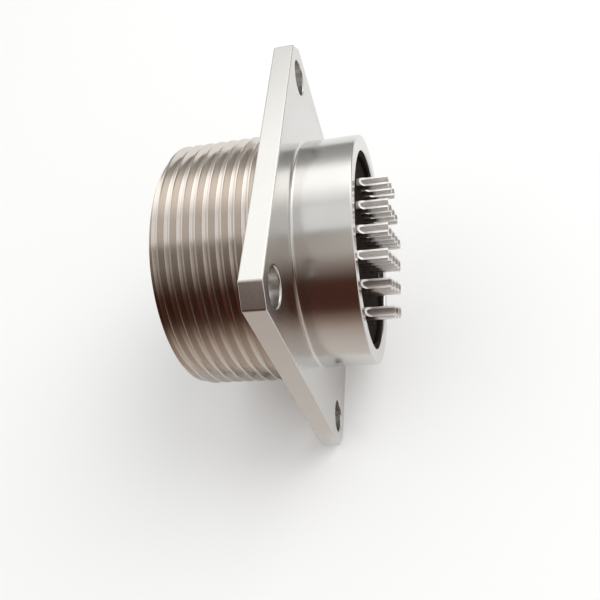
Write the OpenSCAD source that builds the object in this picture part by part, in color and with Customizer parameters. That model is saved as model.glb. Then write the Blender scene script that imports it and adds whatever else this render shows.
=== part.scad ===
// Square-flange panel receptacle for a circular connector: 24 solder-cup contacts.
// The connector's axis lies along Y: the threaded mating end points to -Y, the solder cups to +Y.
// The origin is the centre of the flange's rear face, which seats on the panel. +Z is up.

/* [Flange] */
// Side of the square flange
flange_side = 50; // [45:0.5:70]
// Thickness of the flange
flange_thickness = 3.2; // [2.6:0.1:6]
// Width of the flat that cuts off each corner
corner_flat = 3.7; // [1:0.1:5]
// Distance from the axis of a fixing hole to the flange's sides
hole_edge = 4.7; // [3.2:0.1:6]
// Diameter of the fixing holes
hole_diameter = 5.4; // [3.2:0.1:6]
// Broken edge around the flange and its holes
edge_break = 0.25; // [0.1:0.05:0.5]

/* [Mating barrel] */
// Outside diameter of the coupling thread
thread_diameter = 41.1; // [37:0.1:46]
// Pitch of the coupling thread
thread_pitch = 2; // [1:0.25:2.5]
// Length of the threaded barrel, from the flange to its rim
mating_length = 18; // [16.5:0.5:30]
// Wall between the thread's root and the cavity that the mating plug's nose enters
barrel_wall = 1.87; // [1.2:0.01:3]
// Bevel where the thread starts at the barrel's rim
lead_chamfer = 0.65; // [0.3:0.05:1]

/* [Polarising keys] */
// Width of the main key inside the mating barrel
main_key_width = 3.2; // [2:0.1:5]
// Width of the two side keys
side_key_width = 1.8; // [1:0.1:3]
// Angle from the main key to each side key
side_key_angle = 110; // [60:5:150]
// How far the keys stand out of the cavity's wall
key_height = 1.2; // [0.5:0.1:1.4]
// Distance from the barrel's rim to the keys
key_setback = 4; // [1:0.5:6]

/* [Solder barrel] */
// Outside diameter of the plain rear barrel
rear_diameter = 37.4; // [37:0.1:39]
// Length of the rear barrel behind the flange
rear_length = 8.8; // [8:0.1:11]
// Bore of the rear barrel
rear_bore = 32.4; // [32:0.1:33]
// Fillet where the rear barrel meets the flange
base_fillet = 0.45; // [0.2:0.05:1.2]

/* [Insulators] */
// How far the web stands in from the cavity's wall, towards the front insulator's nose
web_step = 2.4; // [1.6:0.1:3]
// Thickness of that web
web_thickness = 2.4; // [1.5:0.1:3]
// How far the insulators seat inside the flange, measured from its rear face
seat_depth = 0.6; // [0.2:0.1:1]
// Thickness of the front insulator's collar behind the web
collar_thickness = 1.8; // [1.4:0.1:2.5]
// How far the front insulator stands out of the web, into the cavity
nose_height = 5.4; // [3:0.1:6]
// Depth of the rear insulator's face below the rear rim
face_recess = 1.2; // [1:0.05:2]
// Radial clearance around the insulators
insulator_clearance = 0.05; // [0.02:0.01:0.1]
// Width of the rib in the web that stops the insulators turning
stop_rib_width = 2.4; // [1.5:0.1:4]
// Height of that rib
stop_rib_height = 0.8; // [0.4:0.1:1]

/* [Retaining ring] */
// Axial thickness of the retaining ring
ring_thickness = 0.7; // [0.5:0.05:0.8]
// Radial width of the retaining ring
ring_width = 1.3; // [1:0.1:1.6]
// Depth of the groove that holds the ring
groove_depth = 0.6; // [0.4:0.05:0.9]
// Angle of the ring's gap
ring_gap = 24; // [10:1:60]

/* [Contacts] */
// Contacts in each row, from the top row down
row_counts = [4, 5, 6, 5, 4];
// Distance from the outermost contact's axis to the side of the front insulator's nose
contact_margin = 2.9; // [1.5:0.05:4]
// Distance between rows
row_pitch = 4.05; // [3.8:0.05:4.2]
// Outside diameter of the solder cup and its shank
cup_diameter = 2; // [1.5:0.05:2.2]
// Bore of the solder cup
cup_bore = 1.35; // [0.8:0.05:1.4]
// Height of the lips above the cup's axis, as a share of the bore's radius
cup_lip_share = 0.6; // [0:0.05:0.8]
// How far the cups stand out beyond the rear rim
cup_reach = 3.7; // [3:0.1:8]
// Length of the opening along the side of the cup
cup_opening = 4.8; // [2.5:0.1:5]
// Radius of the cutter that opens the cup's side
cup_cutter_radius = 1.4; // [1:0.1:2]
// Depth of the cup's bore past its open side
cup_well = 0.6; // [0:0.1:2]
// Diameter of the mating pin
pin_diameter = 1.5; // [1:0.05:1.8]
// How far the pins stand out of the front insulator
pin_length = 7; // [4:0.1:8]
// Diameter of the shoulder that is trapped between the insulators
shoulder_diameter = 2.8; // [2.4:0.1:3.2]
// Thickness of that shoulder
shoulder_thickness = 1; // [0.6:0.1:1.2]
// Radial clearance around each contact
contact_clearance = 0.05; // [0.02:0.01:0.1]

/* [Hidden] */
$fn = 96;

// Along the axis, h is measured from the flange's rear face and grows towards the mating end.
flange_front = flange_thickness;
rim_front = flange_front + mating_length;
rim_rear = -rear_length;
web_rear = seat_depth;
web_front = web_rear + web_thickness;
collar_rear = web_rear - collar_thickness;
nose_face = web_front + nose_height;
rear_face = rim_rear + face_recess;
pin_tip = nose_face + pin_length;
cup_tip = rim_rear - cup_reach;
cup_lip = cup_lip_share * cup_bore / 2;

thread_depth = 0.541 * thread_pitch;
thread_root = thread_diameter / 2 - thread_depth;
cavity_diameter = 2 * (thread_root - barrel_wall);
web_bore = cavity_diameter - 2 * web_step;
cavity_chamfer = 0.5;
rim_break = 0.3;
pin_nose = 0.45 * pin_diameter;
overlap = 0.5;

across_corners = sqrt(2) * flange_side - corner_flat;
hole_place = flange_side / 2 - hole_edge;
insulator_radius = rear_bore / 2 - insulator_clearance;
nose_radius = web_bore / 2 - insulator_clearance;
shoulder_top = collar_rear + shoulder_thickness;
contact_pitch = 2 * (nose_radius - contact_margin) / (max(row_counts) - 1);

function two_digits(n) = str(n < 10 ? "0" : "", n);
function contact_name(n) = str("contact_", two_digits(n));
function row_offset(row) = ((len(row_counts) - 1) / 2 - row) * row_pitch;
contact_places = [for (row = [0 : len(row_counts) - 1]) for (place = [0 : row_counts[row] - 1])
    [(place - (row_counts[row] - 1) / 2) * contact_pitch, row_offset(row)]];

// Turns a shape whose axis is +Z so that its mating end points to -Y and its +Y side is up.
module along_axis() {
    rotate([90, 0, 0]) children();
}

// A slab of the given width with broken edges, long enough to pass through the whole flange.
module bevelled_slab(width) {
    half = width / 2;
    inner = half - edge_break;
    rotate([90, 0, 0])
        linear_extrude(2 * flange_side, center = true)
            polygon([[-inner, 0], [inner, 0], [half, edge_break], [half, flange_thickness - edge_break],
                     [inner, flange_thickness], [-inner, flange_thickness],
                     [-half, flange_thickness - edge_break], [-half, edge_break]]);
}

module flange_plate() {
    intersection() {
        bevelled_slab(flange_side);
        rotate([0, 0, 90]) bevelled_slab(flange_side);
        rotate([0, 0, 45]) bevelled_slab(across_corners);
        rotate([0, 0, 135]) bevelled_slab(across_corners);
    }
}

module fixing_hole() {
    radius = hole_diameter / 2;
    translate([0, 0, -overlap]) cylinder(r = radius, h = flange_thickness + 2 * overlap);
    translate([0, 0, -overlap]) cylinder(r1 = radius + edge_break + overlap, r2 = radius, h = edge_break + overlap);
    translate([0, 0, flange_thickness - edge_break])
        cylinder(r1 = radius, r2 = radius + edge_break + overlap, h = edge_break + overlap);
}

// Plain rear barrel with a broken rim and a fillet at the flange.
module rear_barrel() {
    radius = rear_diameter / 2;
    rotate_extrude()
        polygon([[0, rim_rear], [radius - rim_break, rim_rear], [radius, rim_rear + rim_break],
                 [radius, overlap], [0, overlap]]);
    rotate_extrude()
        translate([radius, 0]) difference() {
            translate([-overlap, -base_fillet]) square([base_fillet + overlap, base_fillet + overlap]);
            translate([base_fillet, -base_fillet]) circle(base_fillet);
        }
}

// Threaded barrel: the 60-degree thread form as rings at the thread's pitch, bevelled at the rim.
module threaded_barrel() {
    crest = thread_diameter / 2;
    crest_flat = thread_pitch / 8;
    flank = (thread_pitch - crest_flat - thread_pitch / 4) / 2;
    turns = ceil(mating_length / thread_pitch);
    rotate_extrude()
        intersection() {
            polygon(concat(
                [[0, flange_front - overlap], [thread_root, flange_front - overlap]],
                [for (turn = [0 : turns - 1]) let (h = flange_front + turn * thread_pitch)
                    each [[thread_root, h], [crest, h + flank],
                          [crest, h + flank + crest_flat], [thread_root, h + 2 * flank + crest_flat]]],
                [[thread_root, flange_front + turns * thread_pitch], [0, flange_front + turns * thread_pitch]]));
            polygon([[0, flange_front - overlap], [crest, flange_front - overlap],
                     [crest, rim_front - lead_chamfer], [crest - lead_chamfer, rim_front], [0, rim_front]]);
        }
}

// Everything inside the shell: mating cavity, web bore, rear bore and ring groove.
module shell_bores() {
    cavity_radius = cavity_diameter / 2;
    bore_radius = rear_bore / 2;
    rotate_extrude()
        polygon([[0, web_front], [cavity_radius, web_front], [cavity_radius, rim_front - cavity_chamfer],
                 [cavity_radius + cavity_chamfer + overlap, rim_front + overlap], [0, rim_front + overlap]]);
    translate([0, 0, web_rear - overlap]) cylinder(d = web_bore, h = web_thickness + 2 * overlap);
    rotate_extrude()
        polygon([[0, rim_rear - overlap], [bore_radius + rim_break + overlap, rim_rear - overlap],
                 [bore_radius, rim_rear + rim_break], [bore_radius, web_rear], [0, web_rear]]);
    translate([0, 0, rear_face - ring_thickness])
        cylinder(r = bore_radius + groove_depth, h = ring_thickness);
}

module key(width) {
    radius = cavity_diameter / 2;
    translate([0, 0, web_front - overlap])
        intersection() {
            translate([-width / 2, radius - key_height, 0])
                cube([width, key_height + overlap, rim_front - key_setback - web_front + overlap]);
            cylinder(r = radius + overlap, h = rim_front);
        }
}

module stop_rib(clearance) {
    height = stop_rib_height + clearance;
    translate([-stop_rib_width / 2 - clearance, -web_bore / 2 - overlap, web_rear])
        cube([stop_rib_width + 2 * clearance, height + overlap, web_thickness]);
}

module shell() {
    color("silver") along_axis() {
        difference() {
            union() {
                flange_plate();
                rear_barrel();
                threaded_barrel();
            }
            shell_bores();
            for (x = [-1, 1], y = [-1, 1])
                translate([x * hole_place, y * hole_place, 0]) fixing_hole();
        }
        key(main_key_width);
        for (side = [-1, 1]) rotate([0, 0, side * side_key_angle]) key(side_key_width);
        stop_rib(0);
    }
}

module contact_holes(diameter, from, to) {
    for (place = contact_places)
        translate([place[0], place[1], from])
            cylinder(r = diameter / 2 + contact_clearance, h = to - from, $fn = 48);
}

// Black moulding with a collar behind the web and a nose inside the mating cavity.
module front_insulator() {
    nose_break = 0.4;
    color("dimgray") along_axis()
        difference() {
            rotate_extrude()
                polygon([[0, collar_rear], [insulator_radius, collar_rear], [insulator_radius, web_rear],
                         [nose_radius, web_rear], [nose_radius, nose_face - nose_break],
                         [nose_radius - nose_break, nose_face], [0, nose_face]]);
            contact_holes(pin_diameter, collar_rear - overlap, nose_face + overlap);
            contact_holes(shoulder_diameter, collar_rear - overlap, shoulder_top);
            stop_groove();
        }
}

// Groove for the web's rib, open to the nose's face so that the insulator slides in.
module stop_groove() {
    width = stop_rib_width + 2 * insulator_clearance;
    translate([-width / 2, -web_bore / 2 - overlap, web_rear])
        cube([width, stop_rib_height + insulator_clearance + overlap, nose_face - web_rear + overlap]);
}

module rear_insulator() {
    face_break = 0.3;
    color("black") along_axis()
        difference() {
            rotate_extrude()
                polygon([[0, rear_face], [insulator_radius - face_break, rear_face],
                         [insulator_radius, rear_face + face_break], [insulator_radius, collar_rear],
                         [0, collar_rear]]);
            contact_holes(cup_diameter, rear_face - overlap, collar_rear + overlap);
        }
}

// Open spring ring in the rear barrel's groove, against the rear insulator.
module retaining_ring() {
    outer = rear_bore / 2 + groove_depth - insulator_clearance;
    color("darkslategray") along_axis()
        translate([0, 0, rear_face - ring_thickness])
            rotate([0, 0, ring_gap / 2 - 90])
                rotate_extrude(angle = 360 - ring_gap)
                    translate([outer - ring_width, 0]) square([ring_width, ring_thickness]);
}

// Turned contact: rounded pin, trapped shoulder, shank and solder cup with its side cut open upwards.
module contact(n) {
    place = contact_places[n - 1];
    pin_radius = pin_diameter / 2;
    cup_radius = cup_diameter / 2;
    cut_end = cup_tip + cup_opening;
    color("gainsboro") along_axis()
        translate([place[0], place[1], 0])
            difference() {
                rotate_extrude($fn = 48)
                    polygon([[0, cup_tip], [cup_radius, cup_tip], [cup_radius, collar_rear],
                             [shoulder_diameter / 2, collar_rear], [shoulder_diameter / 2, shoulder_top],
                             [pin_radius, shoulder_top], [pin_radius, pin_tip - pin_nose],
                             [pin_radius * 0.8, pin_tip - pin_nose * 0.4],
                             [pin_radius * 0.4, pin_tip], [0, pin_tip]]);
                translate([0, 0, cup_tip - overlap])
                    cylinder(d = cup_bore, h = cup_opening + cup_well + overlap, $fn = 48);
                cup_cutter(cut_end);
            }
}

// Removes the cup's wall above its lips from the tip, and runs out along the cutter's radius.
module cup_cutter(cut_end) {
    flat_end = cut_end - cup_cutter_radius;
    translate([-cup_diameter, cup_lip, cup_tip - overlap])
        cube([2 * cup_diameter, cup_diameter, flat_end - cup_tip + overlap]);
    translate([-cup_diameter, cup_lip + cup_cutter_radius, flat_end])
        rotate([0, 90, 0]) cylinder(r = cup_cutter_radius, h = 2 * cup_diameter, $fn = 64);
}

shell();
front_insulator();
rear_insulator();
retaining_ring();
for (n = [1 : len(contact_places)])
    contact(n);
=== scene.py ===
import math

import bpy
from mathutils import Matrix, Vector


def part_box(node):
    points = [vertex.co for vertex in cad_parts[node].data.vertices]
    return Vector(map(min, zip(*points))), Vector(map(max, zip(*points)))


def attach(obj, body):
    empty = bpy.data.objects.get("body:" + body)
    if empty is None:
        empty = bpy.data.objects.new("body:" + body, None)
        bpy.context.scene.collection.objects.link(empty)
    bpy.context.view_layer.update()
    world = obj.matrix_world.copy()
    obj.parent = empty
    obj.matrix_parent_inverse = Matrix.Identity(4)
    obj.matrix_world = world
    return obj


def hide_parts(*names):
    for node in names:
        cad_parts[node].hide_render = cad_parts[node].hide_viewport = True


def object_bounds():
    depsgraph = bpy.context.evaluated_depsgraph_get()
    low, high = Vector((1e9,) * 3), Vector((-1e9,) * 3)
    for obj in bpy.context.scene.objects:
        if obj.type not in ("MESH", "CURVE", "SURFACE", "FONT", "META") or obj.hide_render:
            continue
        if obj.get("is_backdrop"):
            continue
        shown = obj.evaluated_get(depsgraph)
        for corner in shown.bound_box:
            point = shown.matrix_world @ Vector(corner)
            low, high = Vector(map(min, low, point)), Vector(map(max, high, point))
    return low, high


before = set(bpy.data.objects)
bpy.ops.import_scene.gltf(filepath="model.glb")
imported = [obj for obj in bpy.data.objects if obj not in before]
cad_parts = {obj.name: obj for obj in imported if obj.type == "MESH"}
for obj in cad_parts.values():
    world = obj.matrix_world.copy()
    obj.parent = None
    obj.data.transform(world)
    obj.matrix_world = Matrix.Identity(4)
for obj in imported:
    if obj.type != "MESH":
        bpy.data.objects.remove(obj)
cadLow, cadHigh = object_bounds()
mm = 0.001
touching = 1e-6


def clearSelection():
    if bpy.context.object and bpy.context.object.mode != "OBJECT":
        bpy.ops.object.mode_set(mode="OBJECT")
    bpy.ops.object.select_all(action="DESELECT")


def activate(piece):
    clearSelection()
    piece.select_set(True)
    bpy.context.view_layer.objects.active = piece


def settle(piece):
    activate(piece)
    bpy.ops.object.transform_apply(location=True, rotation=True, scale=True)


def applyModifier(piece, kind, **values):
    activate(piece)
    modifier = piece.modifiers.new(kind.title(), kind)
    for name, value in values.items():
        setattr(modifier, name, value)
    bpy.ops.object.modifier_apply(modifier=modifier.name)


def cut(piece, tool, operation="DIFFERENCE"):
    applyModifier(piece, "BOOLEAN", object=tool, operation=operation, solver="EXACT")
    bpy.data.objects.remove(tool)


def join(pieces):
    activate(pieces[0])
    for piece in pieces:
        piece.select_set(True)
    bpy.ops.object.join()
    return bpy.context.object


def roundEdges(piece, width, segments=2, angle=35):
    applyModifier(piece, "BEVEL", width=width, segments=segments, limit_method="ANGLE",
                  angle_limit=math.radians(angle), use_clamp_overlap=True, miter_outer="MITER_ARC")


def shade(piece, angle=35):
    activate(piece)
    bpy.ops.object.shade_smooth_by_angle(angle=math.radians(angle))
    applyModifier(piece, "WEIGHTED_NORMAL", weight=80, keep_sharp=True)


# A ring is drawn out from point to point of an outline of (radius, place along the axis).
def turn(name, outline, steps, closed=True):
    clearSelection()
    radius, place = outline[0]
    bpy.ops.mesh.primitive_circle_add(vertices=steps, radius=radius, location=(0, place, 0),
                                      rotation=(math.pi / 2, 0, 0))
    piece = bpy.context.object
    piece.name = name
    settle(piece)
    bpy.ops.object.mode_set(mode="EDIT")
    bpy.ops.mesh.select_all(action="SELECT")
    for nextRadius, nextPlace in outline[1:] + (outline[:1] if closed else []):
        bpy.ops.mesh.extrude_region_move(
            TRANSFORM_OT_translate={"value": (0, nextPlace - place, 0), "orient_type": "GLOBAL"})
        grow = nextRadius / radius
        bpy.ops.transform.resize(value=(grow, 1, grow), center_override=(0, nextPlace, 0))
        radius, place = nextRadius, nextPlace
    bpy.ops.mesh.select_all(action="SELECT")
    bpy.ops.mesh.remove_doubles(threshold=1e-6)
    if not closed:
        bpy.ops.mesh.fill_holes(sides=0)
    bpy.ops.mesh.select_all(action="SELECT")
    bpy.ops.mesh.normals_make_consistent(inside=False)
    bpy.ops.object.mode_set(mode="OBJECT")
    return piece


def block(name, low, high):
    clearSelection()
    middle = [(a + b) / 2 for a, b in zip(low, high)]
    bpy.ops.mesh.primitive_cube_add(size=1, location=middle)
    piece = bpy.context.object
    piece.name = name
    piece.scale = [b - a for a, b in zip(low, high)]
    settle(piece)
    return piece


def selectEdges(piece, chosen):
    activate(piece)
    bpy.ops.object.mode_set(mode="EDIT")
    bpy.ops.mesh.select_mode(type="EDGE")
    bpy.ops.mesh.select_all(action="DESELECT")
    bpy.ops.object.mode_set(mode="OBJECT")
    points = piece.data.vertices
    for edge in piece.data.edges:
        edge.select = chosen(*(points[i].co for i in edge.vertices))
    bpy.ops.object.mode_set(mode="EDIT")


def rod(name, x, z, radius, start, end, steps):
    clearSelection()
    bpy.ops.mesh.primitive_cylinder_add(vertices=steps, radius=radius, depth=abs(end - start),
                                        location=(x, (start + end) / 2, z), rotation=(math.pi / 2, 0, 0))
    piece = bpy.context.object
    piece.name = name
    settle(piece)
    return piece


class Nodes:
    def __init__(self, name, owner=None):
        self.material = owner or bpy.data.materials.new(name)
        self.material.use_nodes = True
        self.tree = self.material.node_tree
        self.shader = self.tree.nodes.get("Principled BSDF")

    def add(self, kind, inputs=None, **values):
        node = self.tree.nodes.new(kind)
        for name, value in values.items():
            setattr(node, name, value)
        for name, value in (inputs or {}).items():
            node.inputs[name].default_value = value
        return node

    def link(self, a, b):
        self.tree.links.new(a, b)

    # Multiplies a colour by a tint, as far as the share says.
    def tint(self, colour, tint, share):
        mix = self.add("ShaderNodeMix", data_type="RGBA", blend_type="MULTIPLY")
        mix.inputs[7].default_value = (*tint, 1)
        self.link(share, mix.inputs[0])
        self.link(colour, mix.inputs[6])
        return mix.outputs[2]


def ramp(node, stops):
    elements = node.color_ramp.elements
    while len(elements) > 1:
        elements.remove(elements[-1])
    elements[0].position, elements[0].color = stops[0]
    for place, colour in stops[1:]:
        elements.new(place).color = colour


nickelValues = {
    "colour": (0.65, 0.64, 0.625),
    "shadeColour": (0.61, 0.595, 0.575),
    "threadTint": (1.03, 0.965, 0.915),
    "threadStart": (-3.3 * mm, -2.9 * mm),
    "roughness": (0.16, 0.21),
    "milled": (22 * mm, 26 * mm, 0.08),
    "cloudScale": 90,
    "turningScale": 2600,
    "turningDepth": 0.01,
    "grainScale": 5200,
    "grainDepth": 0.016,
}


# Satin nickel plate: faint turning lines round the axis under a fine blasted grain.
def makeNickel():
    v = nickelValues
    n = Nodes("satinNickel")
    place = n.add("ShaderNodeTexCoord")
    split = n.add("ShaderNodeSeparateXYZ")
    n.link(place.outputs["Object"], split.inputs[0])
    squareX = n.add("ShaderNodeMath", operation="MULTIPLY")
    squareZ = n.add("ShaderNodeMath", operation="MULTIPLY")
    for axis, node in (("X", squareX), ("Z", squareZ)):
        n.link(split.outputs[axis], node.inputs[0])
        n.link(split.outputs[axis], node.inputs[1])
    total = n.add("ShaderNodeMath", operation="ADD")
    n.link(squareX.outputs[0], total.inputs[0])
    n.link(squareZ.outputs[0], total.inputs[1])
    radius = n.add("ShaderNodeMath", operation="SQRT")
    n.link(total.outputs[0], radius.inputs[0])
    lathe = n.add("ShaderNodeCombineXYZ")
    n.link(radius.outputs[0], lathe.inputs["X"])
    n.link(split.outputs["Y"], lathe.inputs["Y"])
    turning = n.add("ShaderNodeTexNoise", {"Scale": v["turningScale"], "Detail": 3.0, "Roughness": 0.6})
    n.link(lathe.outputs[0], turning.inputs["Vector"])
    grain = n.add("ShaderNodeTexNoise", {"Scale": v["grainScale"], "Detail": 2.0, "Roughness": 0.55})
    cloud = n.add("ShaderNodeTexNoise", {"Scale": v["cloudScale"], "Detail": 4.0, "Roughness": 0.6})
    for node in (grain, cloud):
        n.link(place.outputs["Object"], node.inputs["Vector"])
    colour = n.add("ShaderNodeValToRGB")
    ramp(colour, [(0.3, (*v["shadeColour"], 1)), (0.7, (*v["colour"], 1))])
    n.link(cloud.outputs["Fac"], colour.inputs["Fac"])
    start, end = v["threadStart"]
    threaded = n.add("ShaderNodeMapRange", {"From Min": end, "From Max": start})
    n.link(split.outputs["Y"], threaded.inputs["Value"])
    tinted = n.tint(colour.outputs["Color"], v["threadTint"], threaded.outputs["Result"])
    n.link(tinted, n.shader.inputs["Base Color"])
    low, high = v["roughness"]
    rough = n.add("ShaderNodeMapRange", {"From Min": 0.3, "From Max": 0.7, "To Min": low, "To Max": high})
    n.link(cloud.outputs["Fac"], rough.inputs["Value"])
    start, end, extra = v["milled"]
    milled = n.add("ShaderNodeMapRange", {"From Min": start, "From Max": end, "To Max": extra},
                   interpolation_type="SMOOTHSTEP")
    n.link(radius.outputs[0], milled.inputs["Value"])
    finish = n.add("ShaderNodeMath", operation="ADD")
    n.link(rough.outputs["Result"], finish.inputs[0])
    n.link(milled.outputs["Result"], finish.inputs[1])
    n.link(finish.outputs[0], n.shader.inputs["Roughness"])
    lines = n.add("ShaderNodeBump", {"Strength": v["turningDepth"], "Distance": 0.0001})
    n.link(turning.outputs["Fac"], lines.inputs["Height"])
    fine = n.add("ShaderNodeBump", {"Strength": v["grainDepth"], "Distance": 0.0001})
    n.link(grain.outputs["Fac"], fine.inputs["Height"])
    n.link(lines.outputs["Normal"], fine.inputs["Normal"])
    n.link(fine.outputs["Normal"], n.shader.inputs["Normal"])
    n.shader.inputs["Metallic"].default_value = 1.0
    return n.material


silverValues = {
    "colour": (0.92, 0.905, 0.89),
    "tarnish": (0.84, 0.81, 0.785),
    # The next colour is the painted shade inside the cups' hollows.
    "hollowShade": (0.5, 0.42, 0.4),
    "shank": (0.13, 0.105, 0.095),
    "shankEnd": (9.3 * mm, 10.1 * mm),
    "roughness": (0.48, 0.56),
    "scale": 500,
}


# Dull silver plate. The cups' hollows carry painted shade, and the shank darkens towards the insulator.
def makeSilver():
    v = silverValues
    n = Nodes("silverPlate")
    place = n.add("ShaderNodeTexCoord")
    cloud = n.add("ShaderNodeTexNoise", {"Scale": v["scale"], "Detail": 3.0, "Roughness": 0.6})
    n.link(place.outputs["Object"], cloud.inputs["Vector"])
    colour = n.add("ShaderNodeValToRGB")
    ramp(colour, [(0.3, (*v["tarnish"], 1)), (0.55, (*v["colour"], 1))])
    n.link(cloud.outputs["Fac"], colour.inputs["Fac"])
    # Painted shade inside the cups' hollows, on the faces that markFaces marked.
    hollowShade = n.add("ShaderNodeAttribute", attribute_name="hollowShade")
    hollowShaded = n.tint(colour.outputs["Color"], v["hollowShade"], hollowShade.outputs["Fac"])
    outside = n.add("ShaderNodeAttribute", attribute_name="outside")
    split = n.add("ShaderNodeSeparateXYZ")
    n.link(place.outputs["Object"], split.inputs[0])
    start, end = v["shankEnd"]
    depth = n.add("ShaderNodeMapRange", {"From Min": start, "From Max": end, "To Min": 1.0, "To Max": 0.0})
    n.link(split.outputs["Y"], depth.inputs["Value"])
    share = n.add("ShaderNodeMath", operation="MULTIPLY")
    n.link(depth.outputs["Result"], share.inputs[0])
    n.link(outside.outputs["Fac"], share.inputs[1])
    n.link(n.tint(hollowShaded, v["shank"], share.outputs[0]), n.shader.inputs["Base Color"])
    low, high = v["roughness"]
    rough = n.add("ShaderNodeMapRange", {"From Min": 0.3, "From Max": 0.7, "To Min": high, "To Max": low})
    n.link(cloud.outputs["Fac"], rough.inputs["Value"])
    n.link(rough.outputs["Result"], n.shader.inputs["Roughness"])
    n.shader.inputs["Metallic"].default_value = 1.0
    return n.material


mouldingValues = {
    "colour": (0.014, 0.0098, 0.0085),
    "pale": (0.024, 0.0175, 0.015),
    "roughness": (0.8, 0.95),
    "scale": 1500,
    "depth": 0.1,
}


# Black moulding with a dull, slightly mottled skin.
def makeMoulding(name):
    v = mouldingValues
    n = Nodes(name)
    place = n.add("ShaderNodeTexCoord")
    mottle = n.add("ShaderNodeTexNoise", {"Scale": v["scale"], "Detail": 5.0, "Roughness": 0.65})
    n.link(place.outputs["Object"], mottle.inputs["Vector"])
    colour = n.add("ShaderNodeValToRGB")
    ramp(colour, [(0.35, (*v["colour"], 1)), (0.7, (*v["pale"], 1))])
    n.link(mottle.outputs["Fac"], colour.inputs["Fac"])
    n.link(colour.outputs["Color"], n.shader.inputs["Base Color"])
    low, high = v["roughness"]
    rough = n.add("ShaderNodeMapRange", {"To Min": low, "To Max": high})
    n.link(mottle.outputs["Fac"], rough.inputs["Value"])
    n.link(rough.outputs["Result"], n.shader.inputs["Roughness"])
    skin = n.add("ShaderNodeBump", {"Strength": v["depth"], "Distance": 0.0001})
    n.link(mottle.outputs["Fac"], skin.inputs["Height"])
    n.link(skin.outputs["Normal"], n.shader.inputs["Normal"])
    n.shader.inputs["Specular IOR Level"].default_value = 0.02
    return n.material


nickel = makeNickel()
silver = makeSilver()
moulding = makeMoulding("blackMoulding")
blackSteel = makeMoulding("blackSteel")
print("materials done")


def dress(piece, material):
    piece.data.materials.clear()
    piece.data.materials.append(material)


def declare(piece, node):
    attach(piece, "root")
    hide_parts(node)


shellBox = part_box("shell")
rimRear = shellBox[1].y
rimFront = shellBox[0].y
halfSide = shellBox[1].x

shellValues = {
    "steps": 192,
    "flangeThickness": 3.2 * mm,
    "cornerCut": 2.62 * mm,
    "edgeRound": 0.22 * mm,
    "holeSpacing": 40.6 * mm,
    "holeRadius": 2.7 * mm,
    "rearRadius": 18.7 * mm,
    "baseFillet": 0.45 * mm,
    "rearBore": 16.2 * mm,
    "seatDepth": 0.6 * mm,
    "webThickness": 2.4 * mm,
    "webBore": 15.2 * mm,
    "cavityRadius": 17.6 * mm,
    "rimRound": 0.3 * mm,
    "boreRound": 0.3 * mm,
    "mouthRound": 0.5 * mm,
    "threadRadius": 20.55 * mm,
    "pitch": 2.0 * mm,
    "rootPhase": 3.55 * mm,
    "rootAngle": 70.3,
    "turns": 12,
    "crestSoft": 0.07 * mm,
    "leadInner": 19.45 * mm,
    "leadDepth": 0.45 * mm,
    "keys": ((0, 3.2 * mm), (110, 1.8 * mm), (-110, 1.8 * mm)),
    "keyHeight": 1.2 * mm,
    "keySetback": 4 * mm,
    "stopRib": (2.4 * mm, 0.8 * mm),
}


def makeFlange(v):
    flange = block("flange", (-halfSide, -v["flangeThickness"], -halfSide), (halfSide, 0, halfSide))
    selectEdges(flange, lambda a, b: abs(a.x - b.x) < touching and abs(a.z - b.z) < touching)
    bpy.ops.mesh.bevel(offset=v["cornerCut"], segments=1)
    bpy.ops.object.mode_set(mode="OBJECT")
    roundEdges(flange, v["edgeRound"], 3, 30)
    cutters = [holeCutter(v, x * v["holeSpacing"] / 2, z * v["holeSpacing"] / 2)
               for x in (-1, 1) for z in (-1, 1)]
    cut(flange, join(cutters))
    return flange


# A cutter with flared ends, which leaves the hole's edges rounded.
def holeCutter(v, x, z):
    radius, lip = v["holeRadius"], 0.3 * mm
    flare = [(radius + lip * (1 - math.sin(t)), lip * (1 - math.cos(t)))
             for t in (math.radians(15 * step) for step in range(7))]
    rear = [(r, -depth) for r, depth in flare]
    front = [(r, depth - v["flangeThickness"]) for r, depth in reversed(flare)]
    out = 0.5 * mm
    outline = [(rear[0][0], out)] + rear + front + [(front[-1][0], -v["flangeThickness"] - out)]
    cutter = turn("holeCutter", outline, 64, closed=False)
    cutter.location = (x, 0, z)
    settle(cutter)
    return cutter


# The tooth of one pitch: root, rising flank, rounded crest and falling flank.
def threadTooth(v):
    pitch = v["pitch"]
    depth = 0.541 * pitch
    root = v["threadRadius"] - depth
    flank = 0.3125 * pitch
    crest = pitch / 8
    soft = v["crestSoft"]
    return [
        (root, 0), (root, pitch / 4 - soft), (root + 0.5 * soft, pitch / 4 + 0.4 * soft),
        (v["threadRadius"] - 1.2 * soft, pitch / 4 + flank - 0.7 * soft),
        (v["threadRadius"] - 0.25 * soft, pitch / 4 + flank + 0.2 * soft),
        (v["threadRadius"], pitch / 4 + flank + crest / 2),
        (v["threadRadius"] - 0.25 * soft, pitch / 4 + flank + crest - 0.2 * soft),
        (v["threadRadius"] - 1.2 * soft, pitch / 4 + flank + crest + 0.7 * soft),
        (root + 0.5 * soft, pitch - 0.4 * soft), (root, pitch),
    ]


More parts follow.
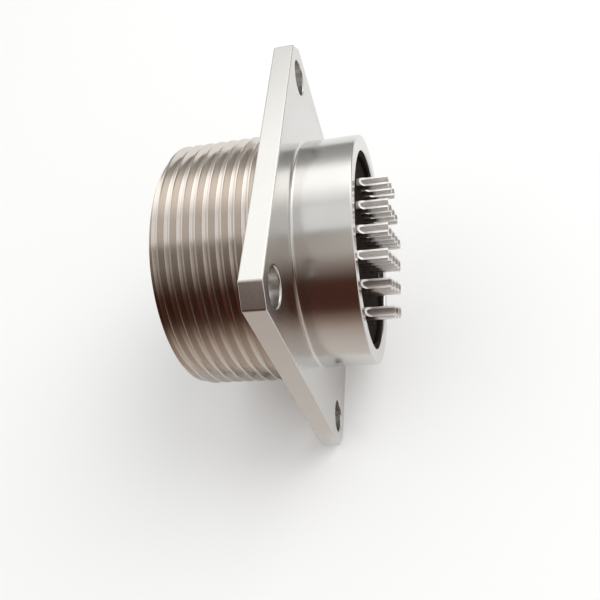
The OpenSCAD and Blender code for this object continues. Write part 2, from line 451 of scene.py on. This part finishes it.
def makeThread(v):
    clearSelection()
    pitch = v["pitch"]
    angle = math.radians(v["rootAngle"])
    start = -v["flangeThickness"] - v["rootPhase"] + pitch / 8 + 3 * pitch
    bpy.ops.mesh.primitive_plane_add(size=pitch, location=(0, 0, 0))
    thread = bpy.context.object
    thread.name = "thread"
    bpy.ops.object.mode_set(mode="EDIT")
    bpy.ops.mesh.select_mode(type="VERT")
    bpy.ops.mesh.select_all(action="SELECT")
    bpy.ops.mesh.merge(type="CENTER")
    tooth = threadTooth(v)
    place = (tooth[0][0], start, 0)
    bpy.ops.transform.translate(value=place)
    for radius, along in tooth[1:]:
        bpy.ops.mesh.extrude_vertices_move(TRANSFORM_OT_translate={
            "value": (radius - place[0], start - along - place[1], 0), "orient_type": "GLOBAL"})
        place = (radius, start - along, 0)
    bpy.ops.object.mode_set(mode="OBJECT")
    applyModifier(thread, "SCREW", axis="Y", angle=-2 * math.pi, screw_offset=-pitch, iterations=v["turns"],
                  steps=v["steps"], render_steps=v["steps"], use_merge_vertices=False, use_smooth_shade=True)
    thread.rotation_euler = (0, -angle, 0)
    settle(thread)
    bpy.ops.object.mode_set(mode="EDIT")
    bpy.ops.mesh.select_all(action="SELECT")
    bpy.ops.mesh.remove_doubles(threshold=2e-6)
    for place, outward in ((-v["flangeThickness"] + 0.3 * mm, 1), (rimFront + 0.02 * mm, -1)):
        bpy.ops.mesh.select_all(action="SELECT")
        bpy.ops.mesh.bisect(plane_co=(0, place, 0), plane_no=(0, outward, 0), clear_outer=True,
                            threshold=1e-7)
    bpy.ops.mesh.select_all(action="SELECT")
    bpy.ops.mesh.fill_holes(sides=0)
    bpy.ops.mesh.select_all(action="SELECT")
    bpy.ops.mesh.normals_make_consistent(inside=False)
    bpy.ops.object.mode_set(mode="OBJECT")
    inner, rim, slope = v["leadInner"], rimFront - v["leadDepth"], 1.55 * mm
    lead = turn("lead", [(inner + slope, rim + slope), (inner, rim), (22 * mm, rim)], v["steps"])
    cut(thread, lead)
    return thread


# A quarter round at a corner of an outline, between the sides that run towards the two directions.
def rounded(corner, arriving, leaving, size, count=4):
    points = []
    for step in range(count + 1):
        t = math.pi / 2 * step / count
        a, b = size * (1 - math.sin(t)), size * (1 - math.cos(t))
        points.append((corner[0] + arriving[0] * a + leaving[0] * b,
                       corner[1] + arriving[1] * a + leaving[1] * b))
    return points


# Everything inside the shell: rear bore with its ring groove, web and mating cavity.
def boreCutter(v):
    seat = -v["seatDepth"]
    web = seat - v["webThickness"]
    ringLow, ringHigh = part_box("retaining_ring")
    groove = ringHigh.x + 0.05 * mm
    out = 0.5 * mm

    def flared(radius, rim, inward, size, count=5):
        points = []
        for step in range(count + 1):
            t = math.pi / 2 * step / count
            points.append((radius + size * (1 - math.sin(t)), rim + inward * size * (1 - math.cos(t))))
        return [(points[0][0], rim - inward * out)] + points

    outline = (
        flared(v["rearBore"], rimRear, -1, v["boreRound"])
        + [(v["rearBore"], ringHigh.y), (groove, ringHigh.y), (groove, ringLow.y), (v["rearBore"], ringLow.y),
           (v["rearBore"], seat)]
        + [(v["webBore"], seat), (v["webBore"], web), (v["cavityRadius"], web)]
        + flared(v["cavityRadius"], rimFront, 1, v["mouthRound"])[::-1]
    )
    return turn("bores", outline, v["steps"], closed=False)


def makeShell():
    v = shellValues
    seat = -v["seatDepth"]
    web = seat - v["webThickness"]
    fillet = [(v["rearRadius"] + v["baseFillet"] * (1 - math.cos(t)), v["baseFillet"] * (1 - math.sin(t)))
              for t in (math.radians(15 * step) for step in range(7))]
    outline = (rounded((v["rearRadius"], rimRear), (-1, 0), (0, -1), v["rimRound"])
               + fillet + [(v["rearRadius"] + v["baseFillet"], -v["flangeThickness"] / 2)])
    shell = turn("shellBody", outline, v["steps"], closed=False)
    cut(shell, makeFlange(v), "UNION")
    cut(shell, makeThread(v), "UNION")
    cut(shell, boreCutter(v))
    for angle, width in v["keys"]:
        radius = v["cavityRadius"]
        key = block("key", (-width / 2, rimFront + v["keySetback"], radius - v["keyHeight"]),
                    (width / 2, web + 0.3 * mm, radius + 0.4 * mm))
        roundEdges(key, 0.15 * mm)
        key.rotation_euler = (0, math.radians(angle), 0)
        settle(key)
        cut(shell, key, "UNION")
    width, height = v["stopRib"]
    rib = block("rib", (-width / 2, web + 0.05 * mm, -v["webBore"] - 0.4 * mm),
                (width / 2, seat - 0.05 * mm, -v["webBore"] + height))
    cut(shell, rib, "UNION")
    shade(shell, 32)
    dress(shell, nickel)
    declare(shell, "shell")
    print("shell done,", len(shell.data.polygons), "faces")


makeShell()


contactNames = sorted(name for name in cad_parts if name.startswith("contact_"))

contactValues = {
    "steps": 40,
    "cupRadius": 1.0 * mm,
    "cupBore": 0.675 * mm,
    "lipHeight": 0.405 * mm,
    "opening": 4.8 * mm,
    "runOut": 1.4 * mm,
    "well": 0.6 * mm,
    "pinRadius": 0.75 * mm,
    "shoulderRadius": 1.4 * mm,
    "shoulderThickness": 1.0 * mm,
    "edgeRound": 0.1 * mm,
    "hollowShadeShare": (0.1, 0.6),  # how deep the painted shade in the hollows is: on most contacts, and on those at the dark board's side, where it is a painted reflection of that board
    "deepShadeBeyond": 8 * mm,
}


def makeContact():
    v = contactValues
    low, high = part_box(contactNames[0])
    tip, pinTip = high.y, low.y
    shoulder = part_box("rear_insulator")[0].y
    cup, pin = v["cupRadius"], v["pinRadius"]
    nose = [(pin * math.cos(t), pinTip + 0.9 * pin * (1 - math.sin(t)))
            for t in (math.radians(18 * step) for step in range(5))]
    outline = ([(v["cupBore"] * 0.5, tip - v["opening"] - v["well"] - 0.3 * mm),
                (v["cupBore"], tip - v["opening"] - v["well"]), (v["cupBore"], tip), (cup, tip),
                (cup, shoulder), (v["shoulderRadius"], shoulder),
                (v["shoulderRadius"], shoulder - v["shoulderThickness"]),
                (pin, shoulder - v["shoulderThickness"])] + nose)
    contact = turn("contact", outline, v["steps"], closed=False)
    end = tip - v["opening"]
    lip = v["lipHeight"]
    scoop = block("scoop", (-2 * cup, end, lip), (2 * cup, tip + cup, 3 * cup))
    selectEdges(scoop, lambda *ends: all(abs(place.y - end) < touching and abs(place.z - lip) < touching
                                         for place in ends))
    bpy.ops.mesh.bevel(offset=v["runOut"], segments=10)
    bpy.ops.object.mode_set(mode="OBJECT")
    cut(contact, scoop)
    roundEdges(contact, v["edgeRound"], 3, 32)
    shade(contact, 40)
    markFaces(contact, end - v["well"] - mm)
    dress(contact, silver)
    return contact


# The silver reads these marks: the faces inside the cup, which take painted shade, and those of its outer
# wall.
def markFaces(contact, cupStart):
    v = contactValues
    contact.data.attributes.new("hollowShade", "FLOAT", "FACE")
    contact.data.attributes.new("outside", "FLOAT", "FACE")
    hollowShade, outside = (contact.data.attributes[name].data for name in ("hollowShade", "outside"))
    for face in contact.data.polygons:
        distance = math.hypot(face.center.x, face.center.z)
        inCup = face.center.y > cupStart
        hollowShade[face.index].value = float(distance < v["cupBore"] + 0.01 * mm and inCup)
        outside[face.index].value = float(distance > v["cupRadius"] - 0.02 * mm and inCup)


pattern = makeContact()
for name in contactNames:
    low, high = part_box(name)
    piece = pattern.copy()
    piece.data = pattern.data.copy()
    piece.name = name + "_turned"
    bpy.context.scene.collection.objects.link(piece)
    piece.location = ((low.x + high.x) / 2, 0, (low.z + high.z) / 2)
    settle(piece)
    # Contacts on the dark board's side (+X) get deeper painted shade in their hollows, a painted reflection
    # of that board.
    share = contactValues["hollowShadeShare"][piece.data.vertices[0].co.x > contactValues["deepShadeBeyond"]]
    for entry in piece.data.attributes["hollowShade"].data:
        entry.value *= share
    declare(piece, name)
bpy.data.objects.remove(pattern)
print("contacts done,", len(contactNames), "copies")


def contactPlaces():
    places = []
    for name in contactNames:
        low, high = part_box(name)
        places.append(((low.x + high.x) / 2, (low.z + high.z) / 2))
    return places


insulatorValues = {
    "edgeRound": 0.25 * mm,
    "clearance": 0.05 * mm,
    "grooveWidth": 2.5 * mm,
    "grooveDepth": 0.85 * mm,
}


def makeInsulator(name, outline, contactRadius, tool=None):
    v = insulatorValues
    low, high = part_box(name)
    insulator = turn(name + "_moulding", outline, 160, closed=False)
    roundEdges(insulator, v["edgeRound"], 3)
    holes = [rod("hole", x, z, contactRadius + v["clearance"], low.y - mm, high.y + mm, 40)
             for x, z in contactPlaces()]
    cut(insulator, join(holes))
    if tool:
        cut(insulator, tool)
    shade(insulator)
    dress(insulator, moulding)
    declare(insulator, name)
    print(name, "done")


# The front half has a collar behind the web, a nose through it, and a groove for the shell's rib.
def makeInsulators():
    v = insulatorValues
    frontLow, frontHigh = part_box("front_insulator")
    rearLow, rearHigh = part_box("rear_insulator")
    seat = -shellValues["seatDepth"]
    nose = shellValues["webBore"] - v["clearance"]
    groove = block("groove", (-v["grooveWidth"] / 2, frontLow.y - mm, -nose - mm),
                   (v["grooveWidth"] / 2, seat, -nose + v["grooveDepth"]))
    makeInsulator("front_insulator",
                  [(rearHigh.x, frontHigh.y), (rearHigh.x, seat), (nose, seat), (nose, frontLow.y)],
                  contactValues["pinRadius"], groove)
    makeInsulator("rear_insulator", [(rearHigh.x, rearHigh.y), (rearHigh.x, rearLow.y)],
                  contactValues["cupRadius"])


makeInsulators()


ringValues = {
    "width": 1.3 * mm,
    "sweep": 336,
    "start": 102,
    "edgeRound": 0.1 * mm,
}


# An open ring: a thin block closed up to one face, which is spun round the axis.
def makeRing():
    v = ringValues
    low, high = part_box("retaining_ring")
    ring = block("retaining_ring_wire", (high.x - v["width"], low.y, -0.01 * mm), (high.x, high.y, 0))
    bpy.ops.object.mode_set(mode="EDIT")
    bpy.ops.mesh.select_all(action="SELECT")
    bpy.ops.mesh.delete(type="ONLY_FACE")
    bpy.ops.mesh.select_all(action="SELECT")
    bpy.ops.mesh.remove_doubles(threshold=0.02 * mm)
    bpy.ops.mesh.select_all(action="SELECT")
    bpy.ops.mesh.edge_face_add()
    bpy.ops.mesh.spin(steps=120, angle=math.radians(v["sweep"]), center=(0, 0, 0), axis=(0, 1, 0))
    bpy.ops.mesh.select_all(action="SELECT")
    bpy.ops.mesh.remove_doubles(threshold=1e-6)
    bpy.ops.mesh.select_all(action="SELECT")
    bpy.ops.mesh.normals_make_consistent(inside=False)
    bpy.ops.object.mode_set(mode="OBJECT")
    ring.rotation_euler = (0, math.radians(v["start"]), 0)
    settle(ring)
    roundEdges(ring, v["edgeRound"])
    shade(ring)
    dress(ring, blackSteel)
    declare(ring, "retaining_ring")
    print("retaining ring done")


makeRing()


floorValues = {
    "size": 6.0,
    "colour": (0.93, 0.93, 0.925),
    "roughness": 0.9,
}


def makeFloor():
    v = floorValues
    clearSelection()
    bpy.ops.mesh.primitive_plane_add(size=v["size"], location=(0, 0, cadLow.z - 0.02 * mm))
    floor = bpy.context.object
    floor.name = "floor"
    n = Nodes("whiteSheet")
    n.shader.inputs["Base Color"].default_value = (*v["colour"], 1)
    n.shader.inputs["Roughness"].default_value = v["roughness"]
    n.shader.inputs["Specular IOR Level"].default_value = 0.1
    dress(floor, n.material)
    floor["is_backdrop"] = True


worldValues = {
    "ambient": (0.85, 0.85, 0.85),
    "backdrop": (0.98, 0.98, 0.98),
}


# The camera, metal and glass see the backdrop; everything else is lit by the ambient level.
def makeWorld():
    v = worldValues
    world = bpy.data.worlds.new("studio")
    bpy.context.scene.world = world
    n = Nodes("studio", world)
    n.tree.nodes.clear()
    path = n.add("ShaderNodeLightPath")
    seen = path.outputs["Is Camera Ray"]
    for ray in ("Is Glossy Ray", "Is Transmission Ray"):
        either = n.add("ShaderNodeMath", operation="MAXIMUM")
        n.link(seen, either.inputs[0])
        n.link(path.outputs[ray], either.inputs[1])
        seen = either.outputs[0]
    colour = n.add("ShaderNodeMix", data_type="RGBA")
    colour.inputs[6].default_value = (*v["ambient"], 1)
    colour.inputs[7].default_value = (*v["backdrop"], 1)
    n.link(seen, colour.inputs[0])
    back = n.add("ShaderNodeBackground")
    n.link(colour.outputs[2], back.inputs["Color"])
    out = n.add("ShaderNodeOutputWorld")
    n.link(back.outputs[0], out.inputs["Surface"])


lampValues = {
    "angle": 112,  # round the part's axis, from +X towards +Z
    "distance": 0.6,
    "along": 0.4,
    "size": 0.6,
    "level": 0.42,
}


def makeLamp():
    v = lampValues
    light = bpy.data.lights.new("overhead", "AREA")
    light.shape = "DISK"
    light.size = v["size"]
    light.energy = v["level"] * 4 * math.pi * v["distance"] ** 2
    lamp = bpy.data.objects.new("overhead", light)
    bpy.context.scene.collection.objects.link(lamp)
    angle = math.radians(v["angle"])
    spot = Vector((v["distance"] * math.cos(angle), v["along"], v["distance"] * math.sin(angle)))
    lamp.location = spot
    lamp.rotation_euler = spot.to_track_quat("Z", "Y").to_euler()
    lamp.visible_camera = False
    lamp.visible_glossy = False


# Studio boards that only the metal shows: a dark one at the part's side with a foot on the floor, a
# softbox over it, and a grey one on the far side. A board runs from "low" to "high" (x, height over the
# floor), and its paint from end to end, as (share, colour).
boardValues = {
    "darkBoard": {
        "low": (108 * mm, 0.0), "high": (108 * mm, 420 * mm), "foot": 80 * mm, "frontLevel": 0.6,
        "paint": ((0.0, (0.75, 0.7, 0.65)), (0.16, (0.4, 0.3, 0.25)), (0.22, (0.08, 0.03, 0.02)),
                  (0.33, (0.08, 0.03, 0.02)), (0.5, (0.6, 0.55, 0.5)), (1.0, (0.65, 0.65, 0.6))),
    },
    "softbox": {
        "low": (-0.1, 0.65), "high": (-0.65, 0.38), "foot": 0.0, "frontLevel": 0.8,
        "paint": ((0.0, (0.98, 0.98, 0.97)), (0.4, (2.0, 2.0, 1.97)), (0.7, (2.0, 2.0, 1.97)),
                  (1.0, (0.98, 0.98, 0.97))),
    },
    "greyBoard": {
        "low": (-0.6, 0.0), "high": (-0.6, 0.45), "foot": 0.0, "frontLevel": 1.0,
        "paint": ((0.0, (0.3, 0.3, 0.29)), (0.6, (0.5, 0.5, 0.48)), (1.0, (0.98, 0.98, 0.97))),
    },
}
boardWidth = 1.6
boardFront = (-80 * mm, -20 * mm)  # where a board's level changes towards the mating end


def makeBoard(name, v):
    low = Vector((v["low"][0], 0, v["low"][1] + cadLow.z))
    high = Vector((v["high"][0], 0, v["high"][1] + cadLow.z))
    rise = high - low
    clearSelection()
    bpy.ops.mesh.primitive_plane_add(size=1, location=(low + high) / 2,
                                     rotation=(0, -math.atan2(rise.z, rise.x), 0))
    board = bpy.context.object
    board.name = name
    board.scale = (rise.length, boardWidth, 1)
    settle(board)
    direction = rise.normalized()
    if v["foot"]:
        selectEdges(board, lambda *ends: all(place.z < low.z + touching for place in ends))
        bpy.ops.mesh.extrude_region_move(
            TRANSFORM_OT_translate={"value": (-v["foot"], 0, 0), "orient_type": "GLOBAL"})
        bpy.ops.object.mode_set(mode="OBJECT")
        direction = Vector((1, 0, 1))  # one measure for the foot and the upright board
    n = Nodes(name)
    place = n.add("ShaderNodeTexCoord")
    along = n.add("ShaderNodeVectorMath", operation="DOT_PRODUCT")
    along.inputs[1].default_value = direction
    n.link(place.outputs["Object"], along.inputs[0])
    share = n.add("ShaderNodeMapRange", {"From Min": direction.dot(low) - v["foot"],
                                         "From Max": direction.dot(high)})
    n.link(along.outputs["Value"], share.inputs["Value"])
    paint = n.add("ShaderNodeValToRGB")
    ramp(paint, [(at, (*colour, 1)) for at, colour in v["paint"]])
    n.link(share.outputs["Result"], paint.inputs["Fac"])
    split = n.add("ShaderNodeSeparateXYZ")
    n.link(place.outputs["Object"], split.inputs[0])
    start, end = boardFront
    level = n.add("ShaderNodeMapRange", {"From Min": start, "From Max": end,
                                         "To Min": v["frontLevel"], "To Max": 1.0})
    n.link(split.outputs["Y"], level.inputs["Value"])
    n.link(paint.outputs["Color"], n.shader.inputs["Emission Color"])
    n.link(level.outputs["Result"], n.shader.inputs["Emission Strength"])
    n.shader.inputs["Base Color"].default_value = (0, 0, 0, 1)
    n.shader.inputs["Specular IOR Level"].default_value = 0.0
    dress(board, n.material)
    board.visible_camera = False
    board.visible_diffuse = False
    board.visible_shadow = False
    board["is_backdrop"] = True


cameraValues = {
    "location": (64.2, 22.2, 81.9),  # in millimetres
    "turn": (34.11, 14.15, 94.44),
    "lens": 37.8,
}


def makeCamera():
    v = cameraValues
    data = bpy.data.cameras.new("camera")
    data.lens = v["lens"]
    data.sensor_width = 36
    data.clip_start = 0.005
    camera = bpy.data.objects.new("camera", data)
    bpy.context.scene.collection.objects.link(camera)
    camera.location = [value * mm for value in v["location"]]
    camera.rotation_euler = [math.radians(value) for value in v["turn"]]
    bpy.context.scene.camera = camera


makeFloor()
makeWorld()
makeLamp()
for name, values in boardValues.items():
    makeBoard(name, values)
makeCamera()
print("floor, light and camera done")
bpy.context.scene.cycles.blur_glossy = 0
bpy.context.scene.view_settings.view_transform = "Standard"

low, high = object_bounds()
print("size", [round((high[i] - low[i]) / mm, 2) for i in range(3)])
